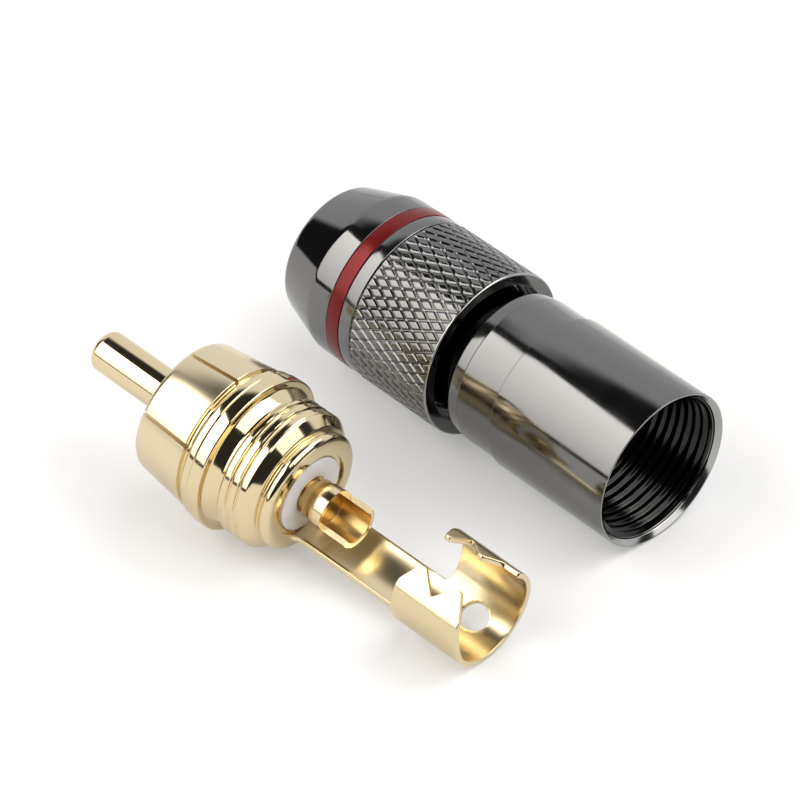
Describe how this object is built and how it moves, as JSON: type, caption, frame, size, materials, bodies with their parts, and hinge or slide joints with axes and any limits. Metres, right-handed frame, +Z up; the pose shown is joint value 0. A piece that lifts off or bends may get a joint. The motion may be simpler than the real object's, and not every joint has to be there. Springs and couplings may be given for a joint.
{
  "type": "rca plug",
  "caption": "Phono cable plug lying open: gold contact body with slit collar, pin, solder cup and crimp clamp, beside its threaded shell with knurled tail cap.",
  "frame": {"origin": "centre of the footprint, on the surface that both halves lie on", "axes": "+X along the shell from its cable tail to its open mouth, +Y from the contact half to the shell, +Z up"},
  "size_m": [0.0374, 0.032, 0.0134],
  "materials": {
    "gold_plating": "bright gold plating",
    "gold_plating_pin": "bright gold plating",
    "gold_plating_sheet": "bright gold plating",
    "insulator_white": "smooth",
    "black_chrome": "black chrome mirror",
    "black_chrome_grip": "black chrome, diamond knurl",
    "black_chrome_tail": "black chrome mirror",
    "red_ring": "satin red",
    "collet_nylon": "moulded"
  },
  "bodies": {
    "plug": {"contact_body": "gold_plating", "insulator": "insulator_white", "centre_pin": "gold_plating_pin", "cable_clamp": "gold_plating_sheet", "barrel": "black_chrome", "cable_collet": "collet_nylon"},
    "band": {"colour_ring": "red_ring"},
    "tail_cap": {"grip_sleeve": "black_chrome_grip", "tail_cone": "black_chrome_tail"}
  },
  "joints": [
    {"name": "cap_travel", "type": "slide", "parent": "plug", "child": "band", "axis": [0.9997, 0, -0.0259], "range_m": [-0.00301, 0.00114]},
    {"name": "cap_turn", "type": "hinge", "parent": "band", "child": "tail_cap", "pos_m": [-0.00909, 0.00945, 0.00677], "axis": [0.9997, 0, -0.0259], "range_deg": [-1440, 540]}
  ],
  "couplings": [
    {"joint": "cap_travel", "follows": "cap_turn", "m_per_rad": 0.00011937}
  ]
}
